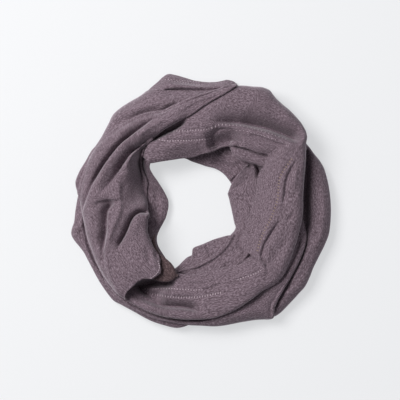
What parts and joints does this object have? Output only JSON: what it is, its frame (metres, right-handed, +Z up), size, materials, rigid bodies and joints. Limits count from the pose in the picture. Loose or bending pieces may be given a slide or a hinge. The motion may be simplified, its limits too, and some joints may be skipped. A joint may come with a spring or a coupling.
{
  "type": "neck warmer",
  "caption": "Wool jersey neck warmer wound on itself and laid down as a soft open ring, with stitched hems along its edges.",
  "frame": {"origin": "on the table, under the middle of the ring's bounding box", "axes": "+Z up from the table through the neck hole, +X across the ring's longest side, to the side where the hemmed panel turns upright"},
  "size_m": [0.2617, 0.2546, 0.048],
  "materials": {
    "jersey": "soft matt wool jersey, heathered mauve taupe",
    "hidden_jersey": "the same matt jersey in the shade of the layers above"
  },
  "bodies": {
    "root": {"lower_turn": "jersey", "inner_low_turn": "jersey", "second_turn": "jersey", "inner_turn": "jersey", "hem_corner": "jersey", "back_hem": "jersey", "middle_turn": "jersey", "corner_tuck": "jersey", "front_hem_panel": "jersey", "tip_fold": "jersey", "left_sweep": "jersey", "hidden_layers": "hidden_jersey"}
  },
  "joints": []
}
